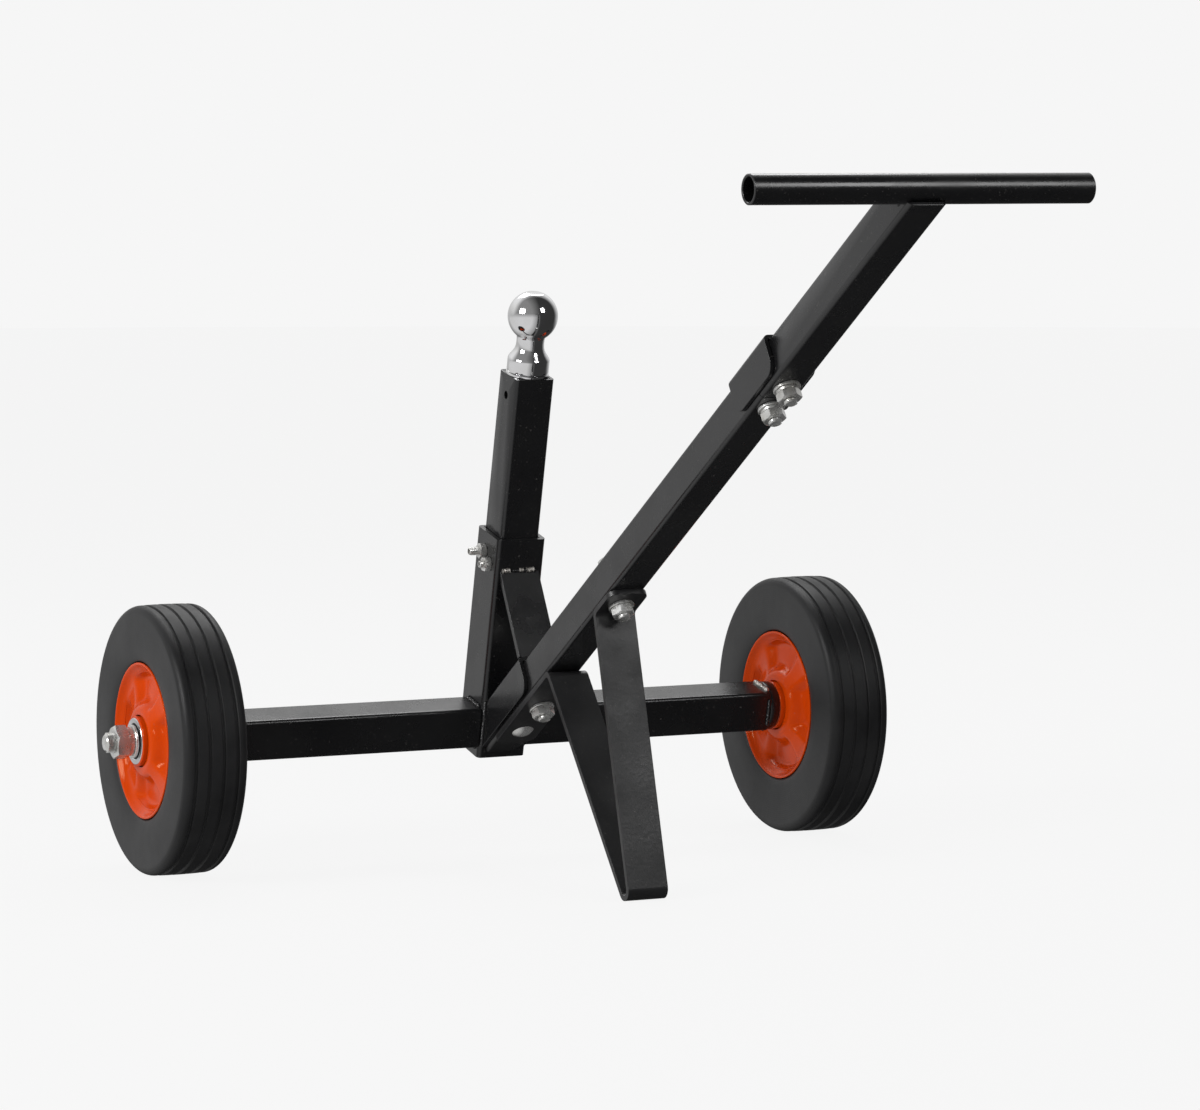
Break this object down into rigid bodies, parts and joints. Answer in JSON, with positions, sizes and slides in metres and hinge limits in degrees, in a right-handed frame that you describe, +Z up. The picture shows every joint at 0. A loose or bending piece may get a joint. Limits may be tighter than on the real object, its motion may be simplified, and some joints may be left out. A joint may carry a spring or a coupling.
{
  "type": "two-wheel trailer dolly",
  "caption": "Two-wheel trailer jack dolly with a T-handle, a tow ball on a square post that slides up and down, solid tyres and a bent-strap stand.",
  "frame": {"origin": "on the floor, in the middle of the whole object's length and width", "axes": "+X along the axle to the object's own right-hand wheel as the picture shows it, -Y towards the T-handle, +Z up"},
  "size_m": [0.798, 0.9752, 0.6589],
  "materials": {
    "black_paint": "gloss powder coat",
    "strap_paint": "satin powder coat",
    "orange_paint": "gloss",
    "tyre": "matt solid rubber",
    "chrome": "polished",
    "zinc_steel": "bright zinc plate",
    "bearing_steel": "ground",
    "seal_rubber": "matt",
    "weld_metal": "rippled bead, thinly coated"
  },
  "bodies": {
    "frame": {"bearing_inner_races": "bearing_steel", "hub_spacer_sleeves": "zinc_steel", "axle_studs": "zinc_steel", "axle_end_collars": "black_paint", "hub_washers": "zinc_steel", "hub_nuts": "zinc_steel", "axle_left": "black_paint", "axle_right": "black_paint", "centre_post": "black_paint", "foot_bracket": "black_paint", "brace_strap": "black_paint", "handle_lower_tube": "black_paint", "handle_upper_tube": "black_paint", "splice_bracket": "black_paint", "grip_bar": "black_paint", "stand_strap": "strap_paint", "clamp_screws": "zinc_steel", "clamp_lock_nuts": "zinc_steel", "splice_bolts": "zinc_steel", "splice_washers": "zinc_steel", "splice_nuts": "zinc_steel", "stand_bolt": "zinc_steel", "stand_washers": "zinc_steel", "stand_nut": "zinc_steel", "foot_bolt": "zinc_steel", "foot_washers": "zinc_steel", "foot_nut": "zinc_steel", "foot_button_screw": "zinc_steel", "foot_captive_nut": "zinc_steel", "weld_beads": "weld_metal"},
    "ball_post": {"ball_post": "black_paint", "ball_post_cap": "black_paint", "tow_ball": "chrome", "ball_washer": "zinc_steel", "ball_shank_nut": "zinc_steel"},
    "left_wheel": {"tyre_left": "tyre", "rim_outer_left": "orange_paint", "rim_inner_left": "orange_paint", "hub_sleeve_left": "orange_paint", "bearing_outer_races_left": "bearing_steel", "bearing_balls_left": "bearing_steel", "bearing_seals_left": "seal_rubber"},
    "right_wheel": {"tyre_right": "tyre", "rim_outer_right": "orange_paint", "rim_inner_right": "orange_paint", "hub_sleeve_right": "orange_paint", "bearing_outer_races_right": "bearing_steel", "bearing_balls_right": "bearing_steel", "bearing_seals_right": "seal_rubber"}
  },
  "joints": [
    {"name": "ball_post_slide", "type": "slide", "parent": "frame", "child": "ball_post", "axis": [0, -0.23, 0.9732], "range_m": [-0.155, 0]},
    {"name": "left_wheel_spin", "type": "hinge", "parent": "frame", "child": "left_wheel", "pos_m": [-0.334, 0.36061, 0.127], "axis": [1, 0, 0], "continuous": true},
    {"name": "right_wheel_spin", "type": "hinge", "parent": "frame", "child": "right_wheel", "pos_m": [0.334, 0.36061, 0.127], "axis": [1, 0, 0], "continuous": true}
  ]
}
